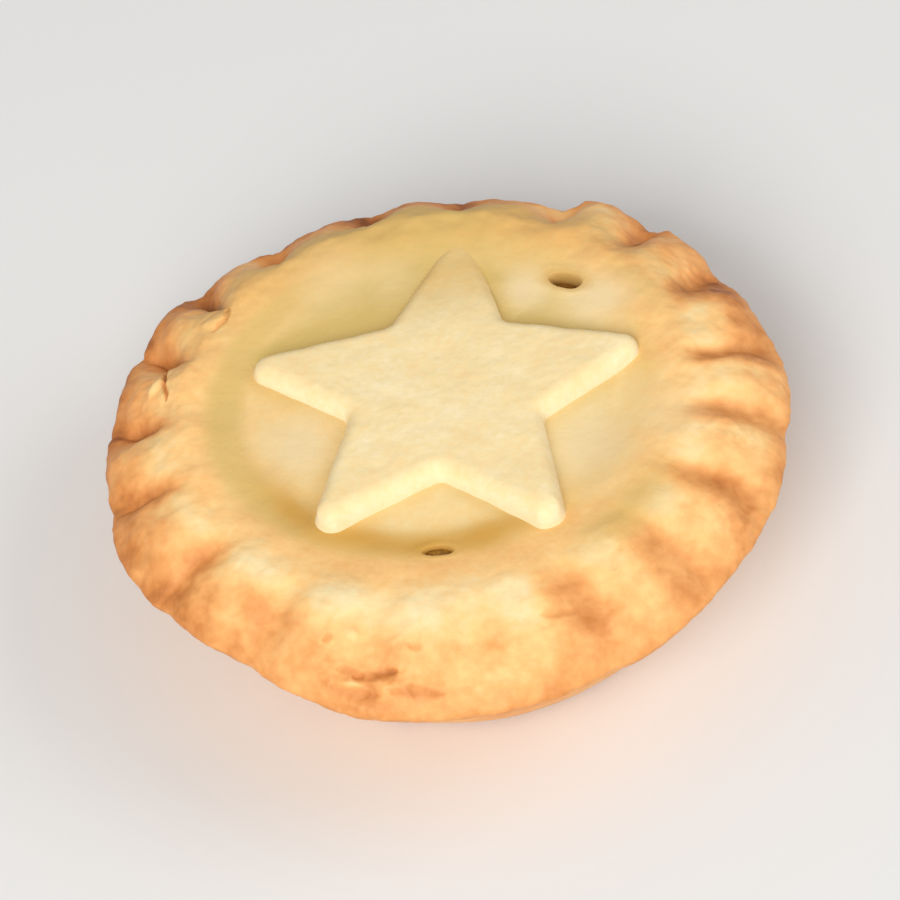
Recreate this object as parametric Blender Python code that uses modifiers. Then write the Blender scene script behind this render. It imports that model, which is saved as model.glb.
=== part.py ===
"""A small round mince pie, baked whole: one solid of shortcrust pastry.

A tapered case carries a thick rim pinched into flutes. The lid lies a little below the rim, bears a
raised star and has two steam vents. Metres, +Z up, flat base on the origin, viewer's side at -Y.
"""

import math
import random

import bmesh
import bpy
from mathutils import Matrix, Vector
from mathutils.bvhtree import BVHTree

NAME = "mince_pie"
CUTTERS_NAME = "pie_cutters"
ADDITIONS_NAME = "pie_additions"

# Turned body: radii and heights of the half section
RIM_RADIUS = 0.0280
BASE_RADIUS = 0.0196
BASE_FILLET = 0.0024
WALL_TOP_RADIUS = 0.0256
WALL_BELLY = 0.0003
EDGE_HEIGHT = 0.0123
LIP_HEIGHT = 0.0100
LID_HEIGHT = 0.0156
LID_DOME = 0.0002
LID_RADIUS = 0.0174
CREST_RADIUS = 0.0214
CREST_HEIGHT = 0.0164
SHOULDER_FLATNESS = 1.5  # 2 is an ellipse, 1 a straight slope
RECESS_SHIFT = (-0.0009, 0.0025)  # how far the lid is set off centre within the rim
RIM_TILT = 0.0004  # how much the rim is higher at the viewer's side and lower at the far side
RIM_BULGE = 0.013  # share by which the rim bulges to one side
RIM_BULGE_SIDE = math.radians(155.0)
RIM_CORNERS = 0.013  # share by which the outline has three blunt corners
RIM_CORNER_SIDE = math.radians(40.0)

# Flutes of the rim
FLUTE_COUNT = 19
FLUTE_DEPTH = 0.0010
FLUTE_SPREAD = 0.25  # share by which one flute's depth differs from the next
FLUTE_TURN = math.radians(2.3)  # where the first flute lies, from +X
FLUTE_SWAY = math.radians(4.7)  # how far the flutes crowd away from one side
FLUTE_SWAY_SIDE = math.radians(-25.0)
FLUTE_LEAN = 0.35  # share by which the flutes are deeper at one side
FLUTE_LEAN_SIDE = math.radians(122.0)
NEAR_SIDE = math.radians(-60.0)  # towards here the flutes turn from short and sharp to long and soft
SHARP_ROUNDNESS = 0.6  # full lobes and narrow flutes, at the far side
SOFT_ROUNDNESS = 1.5  # broad dents, at the near side
FAR_START_RADIUS = 0.0206
FAR_FULL_RADIUS = 0.0252
NEAR_START_RADIUS = 0.0176
NEAR_FULL_RADIUS = 0.0234
FLUTE_LOW_HEIGHT = 0.0070
FLUTE_TOP_HEIGHT = 0.0145
EDGE_SHARE = 0.25  # share of the depth that is left at the widest edge
RIM_WAVE = 0.0002

# Star
STAR_ARMS = 5
STAR_RADIUS = 0.0187
STAR_INNER_RADIUS = 0.0086
STAR_TOP_HEIGHT = 0.0173
STAR_FOOT_HEIGHT = 0.0149
STAR_DRAFT = 0.07  # share by which the top is smaller than the foot
STAR_CORNER = 0.0022
STAR_NOTCH_CORNER = 0.0009
STAR_EDGE = 0.0005
STAR_CENTRE = (0.0004, 0.0020)
STAR_TURN = math.radians(78.0)  # direction of the arm that points away from the viewer
STAR_TILT = math.radians(-1.0)
# Length of each arm and depth of each notch, anticlockwise from the far arm
STAR_STRETCHES = (1.05, 1.12, 0.99, 0.98, 1.00, 1.00, 1.03, 1.00, 0.98, 1.10)
# Degrees by which each of these ten corners turns off its even place
STAR_SWERVES = (1.5, -4.0, 6.0, -3.0, 2.0, 2.0, 1.0, 4.0, 2.0, 8.0)

# Steam vents, pricked through the lid in the star's notches
VENT_PLACES = ((0.0114, 0.0133), (-0.0020, -0.0136))
VENT_RADIUS = 0.0010
VENT_STRETCH = 1.5
VENT_TURN = math.radians(-20.0)
VENT_TAPER = 0.75
VENT_DEPTH = 0.0026
VENT_SIDES = 16

# Crags of the crust: turn from +X, radius, skew from the rim's direction, length, width, depth
SLIT = (math.radians(154.0), 0.0243, math.radians(22.0), 0.0042, 0.0008, 0.0016)
CREASE = (math.radians(249.0), 0.0253, math.radians(4.0), 0.0034, 0.0009, 0.0014)
WRINKLE = (math.radians(286.5), 0.0222, math.radians(-16.0), 0.0026, 0.0007, 0.0009)
CRAG_ROUNDS = 2
BLISTER_TURN = math.radians(249.0)
BLISTER_RADIUS = 0.0266
BLISTER_COUNT = 4
BLISTER_PITCH = math.radians(4.0)
BLISTER_SIZE = (0.0026, 0.0014, 0.0008)
FLAKE = (math.radians(139.0), 0.0236, math.radians(-35.0), 0.0030, 0.0014, 0.0010)

# Mesh density
TURN_STEPS = FLUTE_COUNT * 8
LID_SHARES = (0.0, 0.5, 1.0)
SLOPE_STEPS = 4
SHOULDER_STEPS = 8
LIP_STEPS = 4
WALL_STEPS = 4
FILLET_STEPS = 3
MERGE_DISTANCE = 0.00001

PASTRY_COLOUR = (0.72, 0.43, 0.16, 1.0)
PASTRY_ROUGHNESS = 0.62
SHARP_ANGLE = math.radians(40.0)
RANDOM_SEED = 9


def mix(low, high, share):
    """The value that lies the given share of the way from low to high."""
    return low + (high - low) * share


def smooth_step(low, high, value):
    """0 below low, 1 above high, and an even S curve between them."""
    share = min(max((value - low) / (high - low), 0.0), 1.0)
    return share * share * (3.0 - 2.0 * share)


def clear_scene():
    """Removes every object of the scene."""
    for obj in list(bpy.data.objects):
        bpy.data.objects.remove(obj, do_unlink=True)


def new_collection(name):
    """A collection linked to the scene."""
    collection = bpy.data.collections.new(name)
    bpy.context.scene.collection.children.link(collection)
    return collection


def pastry_material():
    """Baked shortcrust: pale gold, matt."""
    material = bpy.data.materials.new("baked_pastry")
    material.use_nodes = True
    shader = material.node_tree.nodes["Principled BSDF"]
    shader.inputs["Base Color"].default_value = PASTRY_COLOUR
    shader.inputs["Roughness"].default_value = PASTRY_ROUGHNESS
    shader.inputs["Metallic"].default_value = 0.0
    return material


def lid_section():
    """Radius and height along the slightly domed lid, from its centre outwards."""
    return [
        (share * LID_RADIUS, LID_HEIGHT + LID_DOME * (1.0 - share * share))
        for share in LID_SHARES
    ]


def rim_section():
    """From the lid's edge up to the crest, over the sloping shoulder and in under the lip."""
    section = []
    for step in range(1, SLOPE_STEPS + 1):
        share = step / SLOPE_STEPS
        rise = 0.5 - 0.5 * math.cos(math.pi * share)
        section.append((mix(LID_RADIUS, CREST_RADIUS, share), mix(LID_HEIGHT, CREST_HEIGHT, rise)))
    power = 2.0 / SHOULDER_FLATNESS
    for step in range(1, SHOULDER_STEPS + 1):
        turn = 0.5 * math.pi * step / SHOULDER_STEPS
        radius = mix(CREST_RADIUS, RIM_RADIUS, math.sin(turn) ** power)
        section.append((radius, mix(EDGE_HEIGHT, CREST_HEIGHT, max(math.cos(turn), 0.0) ** power)))
    for step in range(1, LIP_STEPS + 1):
        turn = 0.5 * math.pi * step / LIP_STEPS
        radius = mix(WALL_TOP_RADIUS, RIM_RADIUS, math.cos(turn))
        section.append((radius, mix(EDGE_HEIGHT, LIP_HEIGHT, math.sin(turn))))
    return section


def wall_section():
    """Down the tapered wall and round the base's edge to the base's centre."""
    section = []
    taper = math.atan2(WALL_TOP_RADIUS - BASE_RADIUS, LIP_HEIGHT)
    fillet_radius = BASE_RADIUS - BASE_FILLET * math.tan(0.25 * math.pi - 0.5 * taper)
    foot_radius = fillet_radius + BASE_FILLET * math.cos(taper)
    foot_height = BASE_FILLET * (1.0 - math.sin(taper))
    for step in range(1, WALL_STEPS + 1):
        share = step / WALL_STEPS
        belly = WALL_BELLY * math.sin(math.pi * share)
        section.append(
            (mix(WALL_TOP_RADIUS, foot_radius, share) + belly, mix(LIP_HEIGHT, foot_height, share))
        )
    for step in range(1, FILLET_STEPS + 1):
        turn = mix(taper, 0.5 * math.pi, step / FILLET_STEPS)
        height = BASE_FILLET * (1.0 - math.sin(turn))
        section.append((fillet_radius + BASE_FILLET * math.cos(turn), height))
    section.append((0.0, 0.0))
    return section


def turned_body(section, collection):
    """The half section turned about +Z."""
    mesh = bpy.data.meshes.new(NAME)
    points = [(radius, 0.0, height) for radius, height in section]
    edges = [(index, index + 1) for index in range(len(points) - 1)]
    mesh.from_pydata(points, edges, [])
    body = bpy.data.objects.new(NAME, mesh)
    collection.objects.link(body)
    screw = body.modifiers.new("turn", "SCREW")
    screw.axis = "Z"
    screw.steps = TURN_STEPS
    screw.render_steps = TURN_STEPS
    screw.use_merge_vertices = True
    screw.merge_threshold = MERGE_DISTANCE
    return body


def apply_modifiers(obj):
    """Replaces an object's mesh by what its modifiers make of it."""
    evaluated = obj.evaluated_get(bpy.context.evaluated_depsgraph_get())
    mesh = bpy.data.meshes.new_from_object(evaluated)
    old = obj.data
    obj.modifiers.clear()
    obj.data = mesh
    bpy.data.meshes.remove(old)
    mesh.name = obj.name


def flute_depths(draw):
    """One depth for each flute, unevenly pressed."""
    return [FLUTE_DEPTH * (1.0 + draw.uniform(-FLUTE_SPREAD, FLUTE_SPREAD)) for _ in range(FLUTE_COUNT)]


def nearness(final_turn):
    """1 at the near side of the rim, where the flutes are soft, and 0 at the far side."""
    return smooth_step(-0.5, 0.9, math.cos(final_turn - NEAR_SIDE))


def flute_dent(turn, final_turn, depths):
    """How deep the rim is pressed in: narrow V flutes at the far side, broad dents at the near side."""
    place = turn / (2.0 * math.pi) * FLUTE_COUNT
    nearest = round(place) % FLUTE_COUNT
    roundness = mix(SHARP_ROUNDNESS, SOFT_ROUNDNESS, nearness(final_turn))
    lobe = math.sin(math.pi * (place % 1.0)) ** roundness
    lean = 1.0 + FLUTE_LEAN * math.cos(final_turn - FLUTE_LEAN_SIDE)
    return depths[nearest] * lean * (1.0 - lobe)


def flute_reach(radius, height, near):
    """Share of the flutes' depth that a point of the section takes: none on the lid and the lower wall."""
    start = mix(FAR_START_RADIUS, NEAR_START_RADIUS, near)
    full = mix(FAR_FULL_RADIUS, NEAR_FULL_RADIUS, near)
    from_lid = smooth_step(start, full, radius)
    from_wall = smooth_step(FLUTE_LOW_HEIGHT, EDGE_HEIGHT, height)
    return from_lid * from_wall * mix(EDGE_SHARE, 1.0, smooth_step(EDGE_HEIGHT, FLUTE_TOP_HEIGHT, height))


def shaped_place(vertex, depths):
    """Where a vertex of the turned body goes: flutes, tilt and waves of the rim, lid off centre."""
    radius = math.hypot(vertex.co.x, vertex.co.y)
    height = vertex.co.z
    turn = math.atan2(vertex.co.y, vertex.co.x) % (2.0 * math.pi)
    final_turn = turn + FLUTE_TURN + FLUTE_SWAY * math.cos(turn - FLUTE_SWAY_SIDE)
    reach = flute_reach(radius, height, nearness(final_turn))
    dent = flute_dent(turn, final_turn, depths) * reach
    outwards = (vertex.normal.x * vertex.co.x + vertex.normal.y * vertex.co.y) / max(radius, 1e-9)
    bulge = RIM_BULGE * math.cos(final_turn - RIM_BULGE_SIDE)
    bulge += RIM_CORNERS * math.cos(3.0 * (final_turn - RIM_CORNER_SIDE))
    new_radius = radius * (1.0 + bulge * smooth_step(LID_RADIUS, RIM_RADIUS, radius)) - dent * outwards
    wave = RIM_WAVE * (math.sin(2.0 * final_turn + 0.7) + math.sin(3.0 * final_turn + 2.1))
    lift = (wave - RIM_TILT * math.sin(final_turn)) * reach
    place = Vector((new_radius * math.cos(final_turn), new_radius * math.sin(final_turn), height))
    place.z += lift - dent * vertex.normal.z
    if height > EDGE_HEIGHT:
        inside = min((RIM_RADIUS - radius) / (RIM_RADIUS - LID_RADIUS), 1.0)
        place.x += RECESS_SHIFT[0] * inside
        place.y += RECESS_SHIFT[1] * inside
    return place


def shape_pie(body, draw):
    """Moves the turned body's vertices to their uneven places."""
    depths = flute_depths(draw)
    bm = bmesh.new()
    bm.from_mesh(body.data)
    bmesh.ops.remove_doubles(bm, verts=bm.verts, dist=MERGE_DISTANCE)
    bmesh.ops.recalc_face_normals(bm, faces=bm.faces)
    bm.normal_update()
    places = [shaped_place(vertex, depths) for vertex in bm.verts]
    for vertex, place in zip(bm.verts, places):
        vertex.co = place
    bm.to_mesh(body.data)
    bm.free()


def link_mesh(bm, name, collection):
    """Makes an object of a bmesh and frees it."""
    mesh = bpy.data.meshes.new(name)
    bm.to_mesh(mesh)
    bm.free()
    obj = bpy.data.objects.new(name, mesh)
    collection.objects.link(obj)
    return obj


def star_corner(number, size):
    """Where a corner of the star lies: arms on even numbers, notches on odd ones."""
    turn = STAR_TURN + number * math.pi / STAR_ARMS + math.radians(STAR_SWERVES[number])
    radius = STAR_INNER_RADIUS if number % 2 else STAR_RADIUS
    radius *= size * STAR_STRETCHES[number]
    return radius * math.cos(turn), radius * math.sin(turn)


def is_notch(edge):
    """Whether an upright edge of the star stands in one of its notches."""
    return math.hypot(edge.verts[0].co.x, edge.verts[0].co.y) < 0.5 * (STAR_INNER_RADIUS + STAR_RADIUS)


def make_star(collection):
    """A ten-sided cone whose corners are moved to a star, with its corners and its top edge rounded."""
    bm = bmesh.new()
    rise = STAR_TOP_HEIGHT - STAR_FOOT_HEIGHT
    bmesh.ops.create_cone(
        bm, cap_ends=True, segments=2 * STAR_ARMS, radius1=1.0, radius2=1.0, depth=rise
    )
    start = min(math.atan2(vertex.co.y, vertex.co.x) % (2.0 * math.pi) for vertex in bm.verts)
    for vertex in bm.verts:
        turn = math.atan2(vertex.co.y, vertex.co.x) - start
        number = round(turn / (math.pi / STAR_ARMS)) % (2 * STAR_ARMS)
        size = 1.0 - STAR_DRAFT if vertex.co.z > 0.0 else 1.0
        vertex.co.x, vertex.co.y = star_corner(number, size)
    bm.normal_update()
    upright = [edge for edge in bm.edges if abs(edge.verts[0].co.z - edge.verts[1].co.z) > 0.5 * rise]
    for notches, offset in ((False, STAR_CORNER), (True, STAR_NOTCH_CORNER)):
        edges = [edge for edge in upright if edge.is_valid and is_notch(edge) == notches]
        bmesh.ops.bevel(bm, geom=edges, offset=offset, segments=3, profile=0.5, affect="EDGES")
    top = [edge for edge in bm.edges if all(vertex.co.z > 0.49 * rise for vertex in edge.verts)]
    bmesh.ops.bevel(bm, geom=top, offset=STAR_EDGE, segments=2, profile=0.5, affect="EDGES")
    bmesh.ops.recalc_face_normals(bm, faces=bm.faces)
    face = max(bm.faces, key=lambda candidate: candidate.calc_center_median().z + candidate.calc_area())
    bmesh.ops.poke(bm, faces=[face])
    star = link_mesh(bm, "star", collection)
    star.rotation_euler.x = STAR_TILT
    star.location = (*STAR_CENTRE, 0.5 * (STAR_TOP_HEIGHT + STAR_FOOT_HEIGHT))


def lay_on_crust(obj, surface, turn, radius, skew, sizes):
    """Scales a unit ball and lays it on the crust, its length along the rim apart from the skew."""
    above = Vector((radius * math.cos(turn), radius * math.sin(turn), 2.0 * CREST_HEIGHT))
    place, normal, _, _ = surface.ray_cast(above, Vector((0.0, 0.0, -1.0)))
    along = Vector((-math.sin(turn), math.cos(turn), 0.0))
    along = Matrix.Rotation(skew, 3, normal) @ (along - along.dot(normal) * normal).normalized()
    across = normal.cross(along)
    basis = Matrix((along, across, normal)).transposed().to_4x4()
    obj.data.transform(Matrix.Diagonal((*sizes, 1.0)))
    obj.matrix_world = Matrix.Translation(place) @ basis


def unit_ball(name, collection):
    """A faceted ball one unit wide."""
    bm = bmesh.new()
    bmesh.ops.create_icosphere(bm, subdivisions=CRAG_ROUNDS, radius=0.5)
    return link_mesh(bm, name, collection)


def make_blisters(collection, surface, draw):
    """Low bubbles of pastry on the outer face of the rim, where the crust blistered in the oven."""
    for index in range(BLISTER_COUNT):
        turn = BLISTER_TURN + BLISTER_PITCH * (index - 0.5 * (BLISTER_COUNT - 1))
        radius = BLISTER_RADIUS + draw.uniform(-0.0003, 0.0003)
        sizes = [size * draw.uniform(0.8, 1.1) for size in BLISTER_SIZE]
        blister = unit_ball(f"blister_{index + 1}", collection)
        lay_on_crust(blister, surface, turn, radius, draw.uniform(-0.3, 0.3), sizes)


def make_crag(name, crag, collection, surface):
    """A lens-shaped body that opens the crust or, as an addition, stands up from it."""
    turn, radius, skew, length, width, depth = crag
    lens = unit_ball(name, collection)
    lay_on_crust(lens, surface, turn, radius, skew, (length, width, depth))
    return lens


def as_cutter(obj):
    """Marks an object as a tool that is not part of the model."""
    obj.hide_render = True
    obj.display_type = "WIRE"


def make_vents(collection):
    """Tapered plugs that prick the lid."""
    for index, (x, y) in enumerate(VENT_PLACES):
        bm = bmesh.new()
        bmesh.ops.create_cone(
            bm,
            cap_ends=True,
            segments=VENT_SIDES,
            radius1=VENT_RADIUS * VENT_TAPER,
            radius2=VENT_RADIUS,
            depth=2.0 * VENT_DEPTH,
        )
        vent = link_mesh(bm, f"vent_{index + 1}", collection)
        vent.data.transform(Matrix.Diagonal((VENT_STRETCH, 1.0, 1.0, 1.0)))
        vent.rotation_euler.z = VENT_TURN
        vent.location = (x, y, LID_HEIGHT)
        as_cutter(vent)


def join(body, collection, name, operation):
    """Adds a Boolean with every object of a collection."""
    boolean = body.modifiers.new(name, "BOOLEAN")
    boolean.operand_type = "COLLECTION"
    boolean.collection = collection
    boolean.operation = operation
    boolean.solver = "MANIFOLD"


def centre_on_origin(pie, tools):
    """Moves the pie and its cutters so that the outline's middle lies over the origin."""
    low = [min(vertex.co[axis] for vertex in pie.data.vertices) for axis in range(2)]
    high = [max(vertex.co[axis] for vertex in pie.data.vertices) for axis in range(2)]
    middle = Vector((0.5 * (low[0] + high[0]), 0.5 * (low[1] + high[1]), 0.0))
    pie.data.transform(Matrix.Translation(-middle))
    for tool in tools.objects:
        tool.location -= middle


def main():
    """Builds the pie."""
    clear_scene()
    draw = random.Random(RANDOM_SEED)
    pie_collection = new_collection(NAME)
    additions = new_collection(ADDITIONS_NAME)
    cutters = new_collection(CUTTERS_NAME)
    pie = turned_body(lid_section() + rim_section() + wall_section(), pie_collection)
    apply_modifiers(pie)
    shape_pie(pie, draw)
    surface = BVHTree.FromObject(pie, bpy.context.evaluated_depsgraph_get())
    make_star(additions)
    make_blisters(additions, surface, draw)
    make_crag("flake", FLAKE, additions, surface)
    join(pie, additions, "additions", "UNION")
    apply_modifiers(pie)
    for obj in list(additions.objects):
        bpy.data.objects.remove(obj, do_unlink=True)
    bpy.data.collections.remove(additions)
    make_vents(cutters)
    for name, crag in (("slit", SLIT), ("crease", CREASE), ("wrinkle", WRINKLE)):
        as_cutter(make_crag(name, crag, cutters, surface))
    centre_on_origin(pie, cutters)
    pie.data.materials.clear()
    pie.data.materials.append(pastry_material())
    pie.data.shade_smooth()
    pie.data.set_sharp_from_angle(angle=SHARP_ANGLE)
    join(pie, cutters, "cuts", "DIFFERENCE")


main()
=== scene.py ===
import math
import random

import bmesh
import bpy
import numpy as np
from mathutils import Matrix, Vector


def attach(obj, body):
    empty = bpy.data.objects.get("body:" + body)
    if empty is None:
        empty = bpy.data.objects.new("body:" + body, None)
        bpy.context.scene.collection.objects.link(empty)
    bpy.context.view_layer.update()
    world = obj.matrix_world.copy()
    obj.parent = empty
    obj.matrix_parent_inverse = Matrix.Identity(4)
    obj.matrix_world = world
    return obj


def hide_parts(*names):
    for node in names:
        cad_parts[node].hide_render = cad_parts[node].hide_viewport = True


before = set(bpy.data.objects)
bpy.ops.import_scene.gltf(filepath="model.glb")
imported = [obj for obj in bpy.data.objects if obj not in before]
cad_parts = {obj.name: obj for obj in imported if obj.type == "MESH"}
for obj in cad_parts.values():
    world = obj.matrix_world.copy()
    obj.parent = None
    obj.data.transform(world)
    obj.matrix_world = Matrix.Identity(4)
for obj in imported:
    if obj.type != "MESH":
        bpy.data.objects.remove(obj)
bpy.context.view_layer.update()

FULL_TURN = 2.0 * math.pi
MILLIMETRE = 0.001

# Turned body in metres: close to the CAD source's, with a narrower, rounder foot
RIM_RADIUS = 0.028
BASE_RADIUS = 0.0187
BASE_FILLET = 0.003
WALL_TOP_RADIUS = 0.0256
WALL_BELLY = 0.0003
EDGE_HEIGHT = 0.0123
LIP_HEIGHT = 0.01
LID_HEIGHT = 0.0156
LID_DOME = 0.0002
LID_RADIUS = 0.0174
CREST_RADIUS = 0.0209
CREST_HEIGHT = 0.0164
SHOULDER_FLATNESS = 1.5  # 2 is an ellipse, 1 a straight slope
LIP_FLATNESS = 1.4
FAR_SLOPE_START = 0.0125  # the radius from which the lid rises to the rim
NEAR_SLOPE_START = 0.0158
SLOPE_WAVES = ((0.0007, 5.0, 1.0), (0.0004, 11.0, 0.0))  # its waves: size, count and phase
RECESS_SHIFT = (-0.0009, 0.0025)  # how far the lid is off centre
RIM_TILT = 0.0004  # up at the viewer's side, down at the far side
RIM_WAVE = 0.0002
RIM_BULGE = 0.013  # share of the radius
RIM_BULGE_SIDE = math.radians(155.0)
RIM_CORNERS = 0.013  # three blunt corners, as a share of the radius
RIM_CORNER_SIDE = math.radians(40.0)
MIDDLE = (-0.000535, -0.000098)  # the outline's middle, moved onto the origin

# Flutes of the rim
FLUTE_COUNT = 19
FLUTE_SEED = 9
FLUTE_DEPTH = 0.001
FLUTE_SPREAD = 0.25  # share by which their depths differ at random
FLUTE_TURN = math.radians(2.3)  # where the first flute lies, from +X
FLUTE_SWAY = math.radians(4.7)  # turns them on at one side and back at the other
FLUTE_SWAY_SIDE = math.radians(-25.0)
FLUTE_LEAN = 0.35  # share by which they are deeper at one side
FLUTE_LEAN_SIDE = math.radians(122.0)
FLUTE_SLANT = math.radians(3.5)  # how far those of the far half slant
SLANT_PIVOT = 0.87  # share of the rim's radius where these keep their place
NEAR_SIDE = math.radians(-78.0)  # towards here they reach further in
FAR_START_RADIUS = 0.0206
FAR_FULL_RADIUS = 0.0252
NEAR_START_RADIUS = 0.0184
NEAR_FULL_RADIUS = 0.0234
FLUTE_LOW_HEIGHT = 0.007
FLUTE_TOP_HEIGHT = 0.0145
EDGE_SHARE = 0.25  # share of the depth that is left at the widest edge
SOFT_EDGE_LOSS = 0.6  # share of that which a soft dent loses
SHARP_ROUNDNESS = 0.7  # the lower, the fuller the lobes
SOFT_SIDE = math.radians(-60.0)  # towards here they turn from narrow folds to soft dents
SOFT_WIDTH = 0.2  # width of a soft dent, as a share of a lobe
FLUTE_EDGE = 0.08  # share of a lobe beside a flute's middle where its lobes begin
OUTER_MOTTLE_START = (0.021, 0.025)
# The bottoms of the folds get painted shade
PINCH_RADIUS = 0.024  # where the bottom of a fold is darkest
PINCH_WIDTH = 0.003
# Painted shade: the browning of the right-hand flutes is moved onto the side of each fold that lies in shade
BROWNING_SHADE_SHIFT = 0.12  # the browning of a right-hand flute lies this share of a lobe before its middle
BROWNING_SHADE_SHIFT_SIDE = math.radians(-30.0)

# Each flute, anticlockwise from the right: degrees off its even place, share of the depth, painted shade at
# the bottom of its fold, and how far in millimetres the lobe after it stands out at its start and at its end
FLUTES = (
    (0.4, 1.2, 0.1, 0.5, 0.1),
    (3.0, 1.3, 0.15, -0.2, 1.2),
    (1.5, 1.6, 0.3, 0.1, 1.5),
    (0.6, 1.5, 0.4, -0.1, -0.2),
    (3.6, 1.2, 0.35, 0.0, 0.3),
    (3.3, 1.6, 0.55, 0.3, 0.2),
    (5.5, 1.7, 0.6, 0.8, 0.3),
    (3.0, 2.0, 0.7, 1.2, 0.7),
    (-0.8, 2.0, 0.6, 0.4, -0.3),
    (-1.5, 1.5, 0.4, -0.1, -0.5),
    (-3.5, 1.4, 0.25, 0.1, 0.0),
    (-3.0, 1.2, 0.15, -0.6, -1.1),
    (-1.0, 0.8, 0.05, -0.8, 0.15),
    (-0.7, 0.6, 0.00, 0.2, -0.2),
    (0.0, 0.6, 0.00, -0.1, -0.5),
    (3.5, 1.3, 0.12, -0.2, -0.2),
    (4.5, 1.3, 0.12, -0.3, 0.2),
    (4.0, 1.3, 0.15, 0.4, 0.1),
    (4.0, 1.2, 0.12, 0.4, 0.7),
)

# Star, close to the CAD source's
STAR_ARMS = 5
STAR_RADIUS = 0.0187
STAR_INNER_RADIUS = 0.0086
STAR_TOP_HEIGHT = 0.0173
STAR_FOOT_HEIGHT = 0.0149
STAR_CENTRE = (0.0004, 0.002)
STAR_TURN = math.radians(78.0)  # direction of the arm that points away from the viewer
STAR_TILT = math.radians(-1.0)
# Length of each arm and depth of each notch, anticlockwise from the far arm
STAR_STRETCHES = (1.21, 1.15, 1.05, 0.98, 1.00, 1.00, 1.03, 1.00, 1.01, 1.12)
# Degrees by which each of these ten corners turns off its even place
STAR_SWERVES = (1.5, -0.5, 6.0, -3.0, 2.0, 2.0, 1.0, 4.0, 2.0, 9.0)
ARM_ROUNDINGS = (0.0009, 0.0016, 0.0016, 0.0016, 0.0016)
LEAST_ROUNDING = 0.0003
NOTCH_ROUNDING = 0.0007
STAR_WALL_RUN = 0.0004  # how far its side leans in on its way up
STAR_EDGE_ROUNDING = 0.0012
STAR_EDGE_HEIGHT = STAR_TOP_HEIGHT - STAR_EDGE_ROUNDING
FAR_ARM_SINK = 0.0013  # how far the far arm's tip sinks towards the lid

# Steam vents: place, half length and half width, turn, and how far the filling lies below the lid
VENTS = (
    ((0.0117, 0.0131), (0.0014, 0.00072), math.radians(-29.0), 0.0006),
    ((-0.0023, -0.0134), (0.00115, 0.0005), math.radians(-8.0), 0.0001),
)
VENT_DEPTH = 0.0024
VENT_LIP = 0.00005  # height of the raised edge round a vent
FILLING_SPREAD = 1.15  # the filling's size beside its vent's
FILLING_HALF_HEIGHT = 0.0006
FILLING_LUMPS = 0.16

# Relief of the crust: size of its lumps, seed, layers, and height on the lid, the far rim and the near rim
RELIEF = (
    (0.0042, 11, 2, 0.00008, 0.00028, 0.00016),
    (0.0014, 21, 2, 0.00002, 0.0001, 0.0001),
    (0.0005, 31, 1, 0.000006, 0.000016, 0.000016),
)
# Relief of the star: size of its lumps, seed, layers and height
STAR_RELIEF = (
    (0.005, 81, 2, 0.00008),
    (0.0015, 85, 2, 0.00004),
)

# In the tables below, a place on the crust is a turn in degrees and a share of the rim's radius.
# Cracks and creases: from place, to place, half width, depth, browning and painted shade in the crack
STROKES = (
    (150.5, 0.89, 156.0, 0.868, 0.00038, 0.0005, 0.3, 0.3),
    (155.0, 0.87, 161.5, 0.836, 0.00034, 0.0004, 0.3, 0.25),
    (134.8, 0.818, 137.2, 0.793, 0.00045, 0.0002, 0.2, 0.1),
    (137.0, 0.793, 141.5, 0.795, 0.00045, 0.0002, 0.2, 0.05),
    (243.0, 0.922, 248.0, 0.918, 0.0005, 0.0001, 0.14, 0.00),
    (246.0, 0.926, 254.0, 0.912, 0.0007, 0.0002, 0.18, 0.08),
    (242.5, 0.963, 251.5, 0.97, 0.0006, 0.0001, 0.1, 0.00),
    (252.5, 0.955, 262.0, 0.962, 0.0007, 0.0001, 0.14, 0.00),
    (239.0, 0.862, 240.5, 0.84, 0.00055, 0.0001, 0.12, 0.03),
    (255.5, 0.838, 258.5, 0.846, 0.0006, 0.0001, 0.12, 0.03),
    (282.5, 0.8, 289.0, 0.822, 0.0008, 0.0001, 0.12, 0.00),
    (288.5, 0.81, 293.5, 0.905, 0.0016, 0.0000, 0.09, 0.00),
    (300.5, 0.772, 306.0, 0.725, 0.0006, 0.0001, 0.04, 0.05),
)
# Raised flaps and blisters: place, half length, half width, height and browning
BLISTERS = (
    (157.5, 0.88, 0.0016, 0.0004, 0.0003, -0.12),
    (139.0, 0.822, 0.0014, 0.0009, 0.0002, -0.02),
    (246.0, 0.945, 0.0014, 0.0004, 0.0002, -0.12),
    (251.5, 0.942, 0.0012, 0.0004, 0.0002, -0.1),
    (257.0, 0.955, 0.0009, 0.0006, 0.00015, 0.05),
    (244.5, 0.822, 0.0006, 0.0005, 0.00015, -0.1),
    (238.5, 0.9, 0.0008, 0.0007, 0.00012, 0.0),
)
CRACK_WAVER = 0.00022
# Rough patches: place, half angle in degrees, half share and strength
PATCHES = (
    (250.0, 0.94, 10.0, 0.05, 1.0),
    (325.0, 0.93, 6.0, 0.04, 0.7),
    (344.5, 0.81, 4.0, 0.05, 0.7),
    (158.0, 0.89, 7.0, 0.05, 0.6),
    (137.0, 0.86, 5.0, 0.05, 0.4),
    (212.0, 0.92, 7.0, 0.05, 0.5),
    (30.0, 0.92, 9.0, 0.05, 0.5),
)
ROUGH_HEIGHT = 0.00016
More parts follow.
